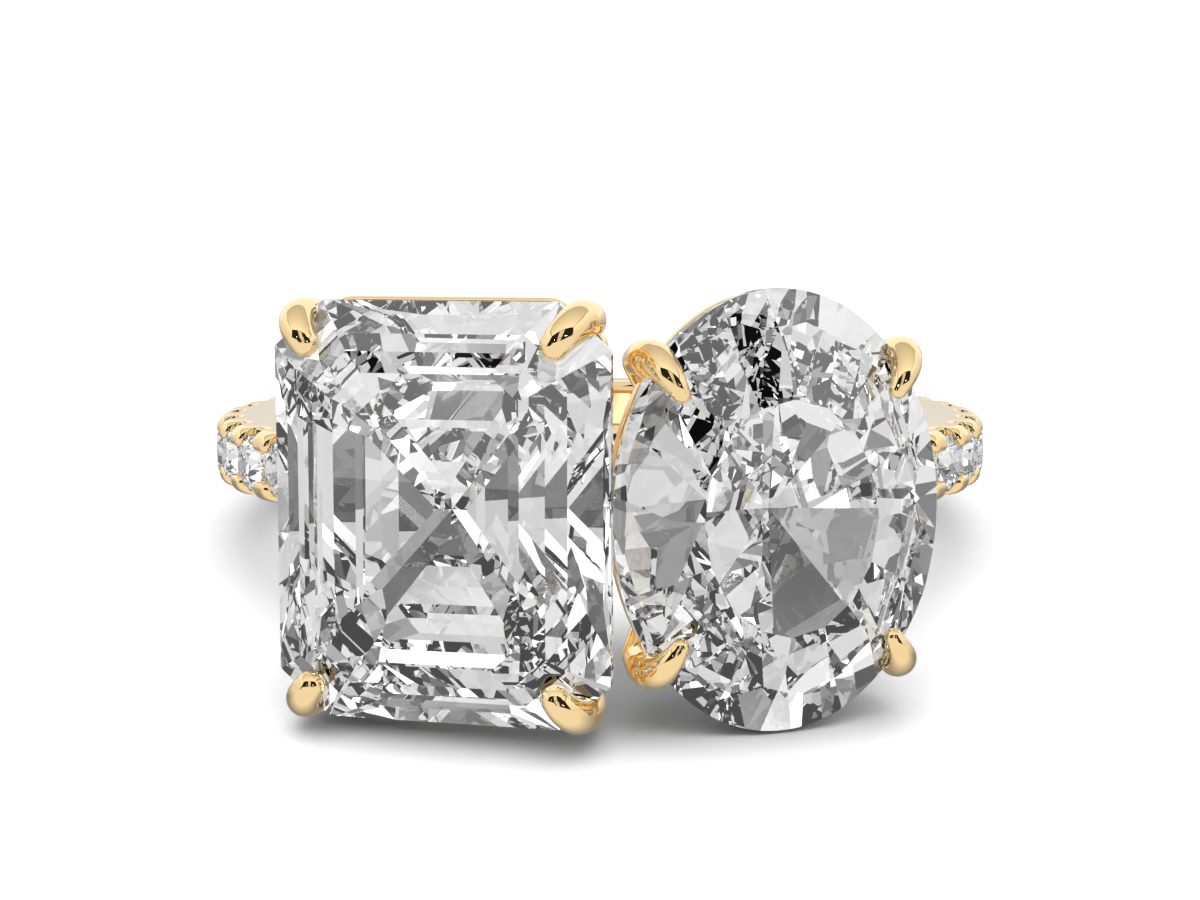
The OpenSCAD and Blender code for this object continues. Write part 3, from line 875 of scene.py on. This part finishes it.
def shoulder_tree():
    """Geometry nodes that set copies of one shape along both shoulders of the shank."""
    name = "Set Along the Shoulders"
    if name in bpy.data.node_groups:
        return bpy.data.node_groups[name]
    tree, given = new_tree(
        name, ("Count per Shoulder", "Int"), ("First Angle", "Float"), ("Step", "Float"),
        ("Seat Radius", "Float"), ("Turn", "Float"), ("Seed", "Int"))
    calc = partial(math_node, tree)
    index = add_node(tree, "GeometryNodeInputIndex").outputs[0]
    side = calc("SUBTRACT", calc("MULTIPLY", calc("MODULO", index, 2), 2), 1)
    along = calc("FLOOR", calc("DIVIDE", index, 2))
    angle = calc("MULTIPLY", side, calc("MULTIPLY_ADD", along, given["Step"], given["First Angle"]))
    across = calc("MULTIPLY", calc("SINE", angle), given["Seat Radius"])
    back = calc("MULTIPLY", calc("COSINE", angle), given["Seat Radius"])
    place = add_node(tree, "ShaderNodeCombineXYZ", {0: across, 1: calc("MULTIPLY", back, -1)})
    count = calc("MULTIPLY", given["Count per Shoulder"], 2)
    points = add_node(tree, "GeometryNodePoints", {"Count": count, "Position": place.outputs[0]})
    turn = add_node(tree, "ShaderNodeCombineXYZ", {0: math.pi / 2, 2: angle})
    copies = add_node(tree, "GeometryNodeInstanceOnPoints", {
        "Points": points.outputs[0], "Instance": given["Geometry"], "Rotation": turn.outputs[0]})
    chance = add_node(tree, "FunctionNodeRandomValue", data_type="FLOAT", given={
        3: given["Turn"], "Seed": given["Seed"]})
    own = add_node(tree, "ShaderNodeCombineXYZ", {2: chance.outputs[1]})
    spin = add_node(tree, "GeometryNodeRotateInstances", {
        "Instances": copies.outputs[0], "Rotation": own.outputs[0]})
    return end_tree(tree, spin.outputs[0], given)


def sweep_tree():
    """Geometry nodes that draw wire along lines: round wire at each line's own girth, or a rail
    of rounded rectangular section."""
    name = "Draw Wire Along a Line"
    if name in bpy.data.node_groups:
        return bpy.data.node_groups[name]
    tree, given = new_tree(
        name, ("Round", "Bool"), ("Sides", "Int"), ("Rail Width", "Float"),
        ("Rail Height", "Float"), ("Rail Rounding", "Float"))
    circle = add_node(tree, "GeometryNodeCurvePrimitiveCircle", {"Radius": 1, "Resolution": given["Sides"]})
    flat = add_node(tree, "GeometryNodeCurvePrimitiveQuadrilateral", {
        "Width": given["Rail Width"], "Height": given["Rail Height"]})
    eased = add_node(tree, "GeometryNodeFilletCurve", mode="POLY", given={
        "Count": 6, "Curve": flat.outputs[0], "Radius": given["Rail Rounding"]})
    section = add_node(tree, "GeometryNodeSwitch", input_type="GEOMETRY", given={
        "Switch": given["Round"], "False": eased.outputs[0], "True": circle.outputs[0]})
    girth = add_node(tree, "GeometryNodeInputRadius")
    sweep = add_node(tree, "GeometryNodeCurveToMesh", {
        "Fill Caps": True, "Curve": given["Geometry"], "Profile Curve": section.outputs[0],
        "Scale": girth.outputs[0]})
    return end_tree(tree, sweep.outputs[0], given)


def grow_with(ob, tree, **values):
    """Runs a tree on an object with its inputs set, and returns a new object with a plain mesh."""
    mod = ob.modifiers.new("grow", "NODES")
    mod.node_group = tree
    for item in tree.interface.items_tree:
        key = item.name.lower().replace(" ", "_")
        if item.in_out == "INPUT" and key in values:
            mod[item.identifier] = values[key]
    me = plain_mesh(ob)
    spent = ob.data
    bpy.data.objects.remove(ob)
    if isinstance(spent, bpy.types.Curve):
        bpy.data.curves.remove(spent)
    else:
        bpy.data.meshes.remove(spent)
    return add_object("grown", welded(me, WELD))


def set_along_shoulders(mesh, material, turn=0.0):
    m = sizes().melee
    return grow_with(
        add_object("cell", mesh), shoulder_tree(), count_per_shoulder=m.count,
        first_angle=math.radians(m.start), step=melee_step(), seat_radius=melee_seat_r(),
        turn=turn, seed=MELEE_SEED, finish=material)


def wire_lines(lines, cyclic):
    """A curve object of straight-sided lines. Each line is a list of (point, girth)."""
    data = bpy.data.curves.new("lines", "CURVE")
    data.dimensions = "3D"
    data.twist_mode = "Z_UP" if cyclic else "MINIMUM"
    for made in lines:
        spline = data.splines.new("POLY")
        spline.points.add(len(made) - 1)
        spline.use_cyclic_u = cyclic
        for point, (co, girth) in zip(spline.points, made):
            point.co = (*co, 1)
            point.radius = girth
    return add_object("lines", data)


def smooth_line(points, per_span):
    """A smooth curve through points of any size, by Catmull-Rom with even steps."""
    made = []
    ends = [points[0], *points, points[-1]]
    for four in zip(ends, ends[1:], ends[2:], ends[3:]):
        for k in range(per_span):
            t = k / per_span
            made.append([
                0.5 * (2 * b + (c - a) * t + (2 * a - 5 * b + 4 * c - d) * t * t
                       + (3 * b - a - 3 * c + d) * t**3)
                for a, b, c, d in zip(*four)
            ])
    return made + [list(points[-1])]


def claw_line(claw, place, edge, heading, foot):
    """One claw's middle line with its girth, from its foot on the shank, past the rail, over the
    girdle to its tip on the stone."""
    to_ring = stone_frame(place)
    rail_foot = rail_levels()[1]
    d = Vector((math.cos(heading), math.sin(heading), 0))
    r = claw.radius
    push = claw.bow * (1 if d.x > 0 else -1)

    def at(out, height, sideways=0.0):
        return to_ring @ Vector((edge[0] + d.x * out + sideways, edge[1] + d.y * out, height))

    start = at(claw.out - claw.tuck - STEM_IN, rail_foot - STEM_BELOW, push)
    out_way = (to_ring.to_3x3() @ d).normalized()
    middle = (Vector(foot) + start) / 2 + STEM_BULGE * out_way
    crossing = at(claw.out - RAIL_TUCK * claw.tuck, rail_foot + RAIL_CROSSING, RAIL_BOW * push)
    rows = [(*point, share * r) for point, share in zip((foot, middle, start, crossing), STEM_GIRTHS)]
    widest = claw.swell + GIRDLE_SWELL
    rows.append((*at(claw.out, -NECK_DEPTH, NECK_BOW * push), claw.swell * r))
    rows.append((*at(claw.out, 0, GIRDLE_BOW * push), widest * r))
    for k in range(1, BEND_STEPS + 1):
        t = math.pi / 2 * k / BEND_STEPS
        girth = r * (widest - (widest - claw.tip) * (k / BEND_STEPS) ** claw.fullness)
        out = claw.out - (claw.out + claw.bend) * (1 - math.cos(t))
        rows.append((*at(out, claw.rise * math.sin(t)), girth))
    made = [(Vector(row[:3]), row[3]) for row in smooth_line(rows, STEPS_PER_SPAN)]
    end = claw.tip * r
    for t in map(math.radians, TIP_RINGS):
        made.append((at(-claw.bend - end * math.sin(t), claw.rise), end * math.cos(t)))
    return made


def basket(place, claw, edge, rail_line):
    """One basket in the ring's frame: four claws on a rail, joined to one mesh."""
    b = sizes().basket
    base = outer_r() - b.foot_sink
    lean_in = math.radians(claw.heading)
    lines = []
    for sx in (-1, 1):
        for sy in (-1, 1):
            heading = math.atan2(sy * math.sin(lean_in), sx * math.cos(lean_in))
            x = place[0] + (place[1] + outer_r()) * math.tan(place[2]) + sx * b.foot_spread
            z = sy * (sizes().shank.wide / 2 - FOOT_IN * claw.radius - FOOT_MORE)
            foot = (x, -math.sqrt(base**2 - x**2), z)
            lines.append(claw_line(claw, place, (sx * edge[0], sy * edge[1]), heading, foot))
    draw = partial(grow_with, tree=sweep_tree(), finish=gold_finish())
    made = draw(wire_lines(lines, False), round=True, sides=CLAW_SIDES)
    rail = draw(wire_lines([[(p, 1.0) for p in rail_line]], True), round=False,
                rail_width=b.rail_t, rail_height=b.rail_h, rail_rounding=RAIL_ROUND)
    rail.data.transform(stone_frame(place))
    return boolean(made, rail, "UNION")


def rail_points(outline, z):
    """A closed line through an outline's corners, each eased with an arc."""
    made = []
    n = len(outline)
    for k in range(n):
        before, corner, after = (Vector((*outline[(k + j) % n], z)) for j in (-1, 0, 1))
        u, v = before - corner, after - corner
        reach = min(RAIL_EASE, u.length * MOST_EASED, v.length * MOST_EASED)
        a, b = corner + u.normalized() * reach, corner + v.normalized() * reach
        for j in range(EASE_STEPS + 1):
            t = j / EASE_STEPS
            made.append(a * (1 - t) ** 2 + corner * 2 * t * (1 - t) + b * t * t)
    return made


def radiant_basket():
    claw, r, b = sizes().radiant_claw, sizes().radiant, sizes().basket
    inset, level = b.rail_t / 2, sum(rail_levels()) / 2
    outline = cut_corners(
        r.wide / 2 - b.rail_tuck - inset, r.long / 2 + b.rail_proud - inset,
        r.corner_w * RAIL_CORNER[0], r.corner_l * RAIL_CORNER[1])
    edge = (r.wide / 2 - r.corner_w / 2 - CLAW_INSIDE, r.long / 2 - r.corner_l / 2 + CLAW_OUTSIDE)
    return basket(radiant_place(), claw, edge, rail_points(outline, level))


def oval_basket():
    claw, o, b = sizes().oval_claw, sizes().oval, sizes().basket
    inset, level = b.rail_t / 2, sum(rail_levels()) / 2
    rail = round_points(o.wide / 2 - b.oval_tuck - inset, o.long / 2 - b.oval_tuck - inset, OVAL_RAIL_POINTS)
    t = math.radians(OVAL_CLAW_AT)
    edge = (o.wide / 2 * math.cos(t), o.long / 2 * math.sin(t))
    return basket(oval_place(), claw, edge, [Vector((x, y, level)) for x, y in rail])


def stone_room(cut, place):
    """A main stone, thicker all round by the seat's gap, to cut its seat with."""
    outline, facets = cut
    gap = sizes().basket.seat_gap
    grow = 1 + gap / SEAT_REACH
    room = cut_stone([(x * grow, y * grow) for x, y in outline], [(no, d + gap) for no, d in facets], "room")
    room.transform(stone_frame(place))
    return add_object("room", room)


# Materials

# Sizes of the cloudiness in gold and of the trace of tone in diamond, as noise scales
GOLD_CLOUD, DIAMOND_GRAIN = 420, 260
# The deeper gold, as shares of the gold's red, green and blue
DEEP_GOLD = (0.985, 0.96, 0.93)
# Roughness of the best and the least polished gold, as shares of its roughness
POLISH = (0.6, 1.4)
COLD_DIAMOND, WARM_DIAMOND = (0.985, 0.99, 1.0, 1), (1.0, 0.998, 0.99, 1)
FLOOR_GREY = (0.9, 0.9, 0.9, 1)


def new_material(name):
    mat = bpy.data.materials.new(name)
    mat.use_nodes = True
    return mat, mat.node_tree, mat.node_tree.nodes["Principled BSDF"].inputs


def clouded(tree, scale, low, high, **noise):
    """Two tones mixed by a noise that stays with the piece, and that noise."""
    coords = add_node(tree, "ShaderNodeTexCoord")
    cloud = add_node(tree, "ShaderNodeTexNoise", {
        "Vector": coords.outputs["Object"], "Scale": scale, **noise})
    fac = cloud.outputs["Fac"]
    tone = add_node(tree, "ShaderNodeMix", {"A": low, "B": high, "Factor": fac}, data_type="RGBA")
    return tone.outputs["Result"], fac


def gold_finish():
    """Polished yellow gold with the faint cloudiness that a polishing wheel leaves."""
    if "polished_gold" in bpy.data.materials:
        return bpy.data.materials["polished_gold"]
    f = sizes().finish
    mat, tree, shader = new_material("polished_gold")
    deep = tuple(c * k for c, k in zip(f.gold, DEEP_GOLD))
    tone, cloud = clouded(tree, GOLD_CLOUD, (*deep, 1), (*f.gold, 1), Detail=3)
    polish = add_node(tree, "ShaderNodeMapRange", {
        "To Min": f.gold_rough * POLISH[0], "To Max": f.gold_rough * POLISH[1], "Value": cloud})
    tree.links.new(tone, shader["Base Color"])
    tree.links.new(polish.outputs["Result"], shader["Roughness"])
    shader["Metallic"].default_value = 1
    return mat


def diamond_finish(name):
    """Colourless diamond. A trace of tone through the stone keeps it from looking like plain glass."""
    if name in bpy.data.materials:
        return bpy.data.materials[name]
    mat, tree, shader = new_material(name)
    tone, _ = clouded(tree, DIAMOND_GRAIN, COLD_DIAMOND, WARM_DIAMOND)
    tree.links.new(tone, shader["Base Color"])
    shader["Transmission Weight"].default_value = 1
    shader["Roughness"].default_value = 0
    shader["IOR"].default_value = sizes().finish.diamond_ior
    return mat


# Light

# Small lamps in the tent: heading from the camera and height in degrees, radius in degrees, brightness
TENT_SPOTS = ((-27, 19, 1.3, 12), (26, 20, 1.3, 12), (33, 17, 1.3, 12))
# Soft lamps over the stones: heading from the camera, height, radius and softness in degrees, brightness
STONE_LAMPS = (
    (0, 90, 26.1, 6, 1.067), (-54.2, 41.8, 39.9, 4, 1.415), (54.2, 41.8, 39.9, 4, -0.14),
    (180, 50.4, 34.8, 6, -0.3), (150, 40, 3.0, 0.5, 6), (-150, 38, 3.0, 0.5, 6),
)
# The darkest that the stones' light gets
STONE_DARK = 0.01
# The lens opening in the tent's front, as a dark half ring: its level, its radius and half its
# thickness, as shares of the reach
LENS_LEVEL, LENS_RADIUS, LENS_RING = 0.3, 0.075, 0.022
# Brightness of the tent's seam, and how far back it shows
SEAM_DARK, SEAM_BACK = 0.03, 0.3
# How quickly the ring's shade on the tent's floor deepens towards the back and downwards
SHADE_BACK, SHADE_FROM, SHADE_DOWN = 1.2, 0.3, -3


def blend(calc, share, low, high):
    return calc("ADD", calc("MULTIPLY", calc("SUBTRACT", 1, share), low), calc("MULTIPLY", share, high))


def held(calc, value):
    """A value held between 0 and 1."""
    return calc("MINIMUM", calc("MAXIMUM", value, 0), 1)


def towards(tree, way, az, el):
    """Cosine of the angle from a heading and height, in degrees."""
    az, el = math.radians(az), math.radians(el)
    aim = (math.sin(az) * math.cos(el), -math.cos(az) * math.cos(el), math.sin(el))
    return add_node(tree, "ShaderNodeVectorMath", {1: aim, 0: way}, operation="DOT_PRODUCT").outputs["Value"]


def stone_light(tree, way, z):
    """The light that comes through the stones: a dome with soft lamps, dark where the camera is."""
    t = sizes().studio.stone_light
    calc = partial(math_node, tree)

    def lobe(az, el, radius, soft):
        edge = add_node(tree, "ShaderNodeMapRange", interpolation_type="SMOOTHSTEP", given={
            "From Min": math.cos(math.radians(min(179, radius + soft))),
            "From Max": math.cos(math.radians(max(0.5, radius - soft))),
            "Value": towards(tree, way, az, el)})
        return edge.outputs["Result"]

    light = t.dome
    for *lamp, bright in STONE_LAMPS:
        light = calc("ADD", calc("MULTIPLY", lobe(*lamp), bright), light)
    light = blend(calc, lobe(0, t.shade_up, t.shade_wide, t.shade_soft), light, t.shade)
    ground = blend(calc, held(calc, calc("MULTIPLY", z, -1)), t.horizon, t.floor)
    return calc("MAXIMUM", blend(calc, calc("LESS_THAN", z, 0), light, ground), STONE_DARK)


def tent_front(calc, t, beside, level):
    """The tent's dark front, with a white foot and a paler middle that the lens opens."""
    flap = calc("LESS_THAN", beside, blend(calc, level, t.flap_foot, t.flap_top))
    above = calc("MULTIPLY", calc("SUBTRACT", level, LENS_LEVEL), t.height)
    squares = calc("ADD", calc("MULTIPLY", beside, beside), calc("MULTIPLY", above, above))
    from_lens = calc("POWER", squares, 0.5)
    ring = calc("LESS_THAN", calc("ABSOLUTE", calc("SUBTRACT", from_lens, LENS_RADIUS)), LENS_RING)
    ring = calc("MULTIPLY", ring, calc("GREATER_THAN", above, 0))
    front = blend(calc, calc("MULTIPLY", flap, calc("SUBTRACT", 1, ring)), t.front, t.flap)
    return blend(calc, calc("LESS_THAN", level, t.front_foot), front, t.floor)


def light_tent():
    """A photographer's light tent, drawn on the world: a panel overhead, a white wall on each side
    and behind, and a dark front with a paler middle where the camera looks in. What comes through
    the stones is lit by stone_light instead."""
    t = sizes().studio.tent
    world = bpy.data.worlds.new("light_tent")
    world.use_nodes = True
    tree = world.node_tree
    calc = partial(math_node, tree)
    mix, clamp = partial(blend, calc), partial(held, calc)
    way = add_node(tree, "ShaderNodeTexCoord").outputs["Generated"]
    x, y, z = add_node(tree, "ShaderNodeSeparateXYZ", {"Vector": way}).outputs

    # Which side of the tent a ray meets
    across = calc("DIVIDE", calc("ABSOLUTE", x), t.half_width)
    along = calc("MAXIMUM", calc("MULTIPLY", y, -1), calc("DIVIDE", y, t.back))
    up = calc("DIVIDE", z, t.height)
    side = calc("MAXIMUM", across, along)
    reach = calc("ADD", calc("MAXIMUM", side, up), 1e-5)
    level = clamp(calc("DIVIDE", up, reach))
    beside = calc("DIVIDE", calc("ABSOLUTE", x), reach)

    # The panel overhead, the side walls, the front and the back
    forward = calc("DIVIDE", calc("MULTIPLY", y, -1), reach)
    depth = clamp(calc("DIVIDE", calc("ADD", forward, t.back), 1 + t.back))
    panel = mix(calc("POWER", depth, t.panel_falloff), t.panel_back, t.panel_front)
    wall = mix(calc("GREATER_THAN", x, 0), t.left_wall, t.right_wall)
    wall = calc("MULTIPLY", wall, mix(level, t.wall_foot, 1))
    ends = mix(calc("LESS_THAN", y, 0), t.back_wall, tent_front(calc, t, beside, level))
    walls = mix(calc("GREATER_THAN", across, along), ends, wall)
    all_round = mix(calc("GREATER_THAN", up, side), walls, panel)
    seam = calc("LESS_THAN", calc("DIVIDE", calc("ABSOLUTE", calc("SUBTRACT", up, side)), reach), t.seam)
    seam = calc("MULTIPLY", seam, calc("LESS_THAN", y, SEAM_BACK))

    # The floor, shaded under the ring, and darker in the stones' sharp reflections
    ray = add_node(tree, "ShaderNodeLightPath").outputs
    behind = clamp(calc("MULTIPLY_ADD", y, SHADE_BACK, SHADE_FROM))
    under = calc("MULTIPLY", behind, clamp(calc("MULTIPLY", z, SHADE_DOWN)))
    floor = mix(ray["Is Singular Ray"], mix(under, t.floor, t.floor_back), t.stone_floor)
    light = mix(calc("LESS_THAN", z, 0), mix(seam, all_round, SEAM_DARK), floor)
    light = mix(ray["Is Transmission Ray"], light, stone_light(tree, way, z))
    for az, el, radius, bright in TENT_SPOTS:
        spot = calc("GREATER_THAN", towards(tree, way, az, el), math.cos(math.radians(radius)))
        light = calc("ADD", light, calc("MULTIPLY", spot, bright))

    background = tree.nodes["Background"].inputs
    background["Color"].default_value = (1, 1, 1, 1)
    tree.links.new(calc("MULTIPLY", light, sizes().studio.sky), background["Strength"])
    return world


def add_light(name, kind):
    """A light that only the floor and the metal's dull parts catch."""
    data = bpy.data.lights.new(name, kind)
    ob = add_object(name, data)
    ob.visible_glossy = ob.visible_transmission = ob.visible_camera = False
    return ob, data


# The stage: half the floor's width in metres, the camera's shift and its sensor's width in mm
FLOOR_HALF = 0.7
CAMERA_SHIFT = -0.0094
SENSOR = 36


def lay_floor():
    bm = bmesh.new()
    bmesh.ops.create_grid(bm, x_segments=2, y_segments=2, size=FLOOR_HALF)
    floor = add_object("studio_floor", mesh_of(bm, "studio_floor"))
    floor.location = (0, 0, CAD_BOX[0][2])
    mat, _, shader = new_material("pale_floor")
    shader["Base Color"].default_value = FLOOR_GREY
    shader["Roughness"].default_value = 0.9
    shader["Specular IOR Level"].default_value = 0.2
    floor.data.materials.append(mat)
    floor.visible_transmission = floor.visible_glossy = False


def set_camera(scene, st):
    data = bpy.data.cameras.new("camera")
    data.sensor_width, data.lens = SENSOR, st.lens
    data.clip_start, data.clip_end = 0.001, 10
    data.shift_y = CAMERA_SHIFT
    cam = add_object("camera", data)
    el, away = math.radians(st.rise) + rest_tip(), st.distance * MM
    cam.location = (0, -away * math.cos(el), away * math.sin(el))
    cam.rotation_euler = (math.pi / 2 - el, 0, 0)
    scene.camera = cam


def bloom_glints(scene, st):
    """Gives the brightest glints of the finished picture a soft bloom."""
    scene.use_nodes = True
    tree = scene.node_tree
    tree.nodes.clear()
    picture = add_node(tree, "CompositorNodeRLayers")
    glints = add_node(tree, "CompositorNodeGlare", glare_type="BLOOM", given={
        "Threshold": st.glint_from, "Strength": st.glint, "Size": st.glint_size,
        "Image": picture.outputs["Image"]})
    add_node(tree, "CompositorNodeComposite", {"Image": glints.outputs["Image"]})


# Operators, one for each piece or group of like pieces


class RING_OT_shank(bpy.types.Operator):
    """Makes the shank with its pave seats"""

    bl_idname = "ring.shank"
    bl_label = "Shank"

    def execute(self, context):
        shank = add_object("shank", shank_mesh())
        seats = set_along_shoulders(melee_seat(), gold_finish())
        boolean(shank, seats, "DIFFERENCE").name = "mount"
        return {"FINISHED"}


class RING_OT_baskets(bpy.types.Operator):
    """Makes both claw baskets and solders them to the shank"""

    bl_idname = "ring.baskets"
    bl_label = "Baskets and Claws"

    def execute(self, context):
        mount = bpy.data.objects["mount"]
        boolean(mount, radiant_basket(), "UNION")
        boolean(mount, oval_basket(), "UNION")
        boolean(mount, stone_room(radiant_facets(), radiant_place()), "DIFFERENCE")
        boolean(mount, stone_room(oval_facets(), oval_place()), "DIFFERENCE")
        drop_slivers(mount)
        finish_piece(mount, "gold_ring", gold_finish(), ["gold_mount"], tipped(), sharp=SHARP_EDGE)
        mount.visible_transmission = False
        return {"FINISHED"}


class RING_OT_radiant(bpy.types.Operator):
    """Cuts the radiant diamond and sets it in its place"""

    bl_idname = "ring.radiant"
    bl_label = "Radiant Diamond"

    def execute(self, context):
        ob = add_object("radiant_stone", cut_stone(*radiant_facets(), "radiant"))
        place, mat = tipped() @ stone_frame(radiant_place()), diamond_finish("clear_diamond")
        finish_piece(ob, "radiant_stone", mat, ["radiant_diamond"], place)
        return {"FINISHED"}


class RING_OT_oval(bpy.types.Operator):
    """Cuts the oval diamond and sets it in its place"""

    bl_idname = "ring.oval"
    bl_label = "Oval Diamond"

    def execute(self, context):
        ob = add_object("oval_stone", cut_stone(*oval_facets(), "oval"))
        place, mat = tipped() @ stone_frame(oval_place()), diamond_finish("clear_diamond")
        finish_piece(ob, "oval_stone", mat, ["oval_diamond"], place)
        return {"FINISHED"}


class RING_OT_melee(bpy.types.Operator):
    """Sets the small diamonds along both shoulders"""

    bl_idname = "ring.melee"
    bl_label = "Small Diamonds"

    def execute(self, context):
        mat = diamond_finish("melee_diamond")
        ob = set_along_shoulders(cut_stone(*melee_facets(), "melee"), mat, turn=MELEE_TURN)
        nodes = [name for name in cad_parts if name.startswith("pave_")]
        finish_piece(ob, "pave_stones", mat, nodes, tipped())
        return {"FINISHED"}


class RING_OT_studio(bpy.types.Operator):
    """Lays the pale floor, and sets the soft light and the camera"""

    bl_idname = "ring.studio"
    bl_label = "Studio"

    def execute(self, context):
        st, scene = sizes().studio, context.scene
        lay_floor()
        set_camera(scene, st)
        scene.world = light_tent()
        ob, lamp = add_light("overhead_lamp", "AREA")
        lamp.shape, lamp.size, lamp.energy = "DISK", st.lamp_size * MM, st.lamp
        ob.location = (0, -st.lamp_forward * MM, st.lamp_height * MM)
        ob, glow = add_light("ceiling_glow", "SUN")
        glow.energy, glow.angle = st.glow, math.radians(st.glow_spread)
        ob.rotation_euler = (math.radians(st.glow_lean), 0, 0)
        bloom_glints(scene, st)
        scene.view_settings.view_transform = "Standard"
        scene.view_settings.look = "None"
        # A ray needs many turns inside a diamond
        scene.cycles.max_bounces = 32
        scene.cycles.transmission_bounces = 32
        scene.cycles.glossy_bounces = 12
        scene.cycles.diffuse_bounces = 4
        scene.cycles.caustics_refractive = False
        scene.cycles.caustics_reflective = False
        scene.cycles.use_denoising = True
        scene.cycles.denoising_input_passes = "RGB"
        return {"FINISHED"}


class RING_PT_panel(bpy.types.Panel):
    bl_label = "Two-Stone Diamond Ring"
    bl_idname = "RING_PT_panel"
    bl_space_type = "VIEW_3D"
    bl_region_type = "UI"
    bl_category = "Ring"

    def draw(self, context):
        for op in OPERATORS:
            self.layout.operator(op.bl_idname, text=op.bl_label)


OPERATORS = (RING_OT_shank, RING_OT_baskets, RING_OT_radiant, RING_OT_oval, RING_OT_melee, RING_OT_studio)
CLASSES = (
    RingShankSizes, RingMeleeSizes, RingRadiantSizes, RingOvalSizes, RingBasketSizes, RingClawSizes,
    RingFinish, RingTent, RingStoneLight, RingStudio, RingSizes, *OPERATORS, RING_PT_panel,
)


def register():
    for cls in CLASSES:
        bpy.utils.register_class(cls)
    bpy.types.Scene.ring_sizes = group(RingSizes, "Ring Sizes", "Sizes and colours of the ring")


def unregister():
    del bpy.types.Scene.ring_sizes
    for cls in reversed(CLASSES):
        bpy.utils.unregister_class(cls)


def main():
    register()
    for size, value in OVAL_CLAW.items():
        setattr(sizes().oval_claw, size, value)
    bpy.ops.ring.shank()
    bpy.ops.ring.baskets()
    bpy.ops.ring.radiant()
    bpy.ops.ring.oval()
    bpy.ops.ring.melee()
    bpy.ops.ring.studio()


if __name__ == "__main__":
    main()
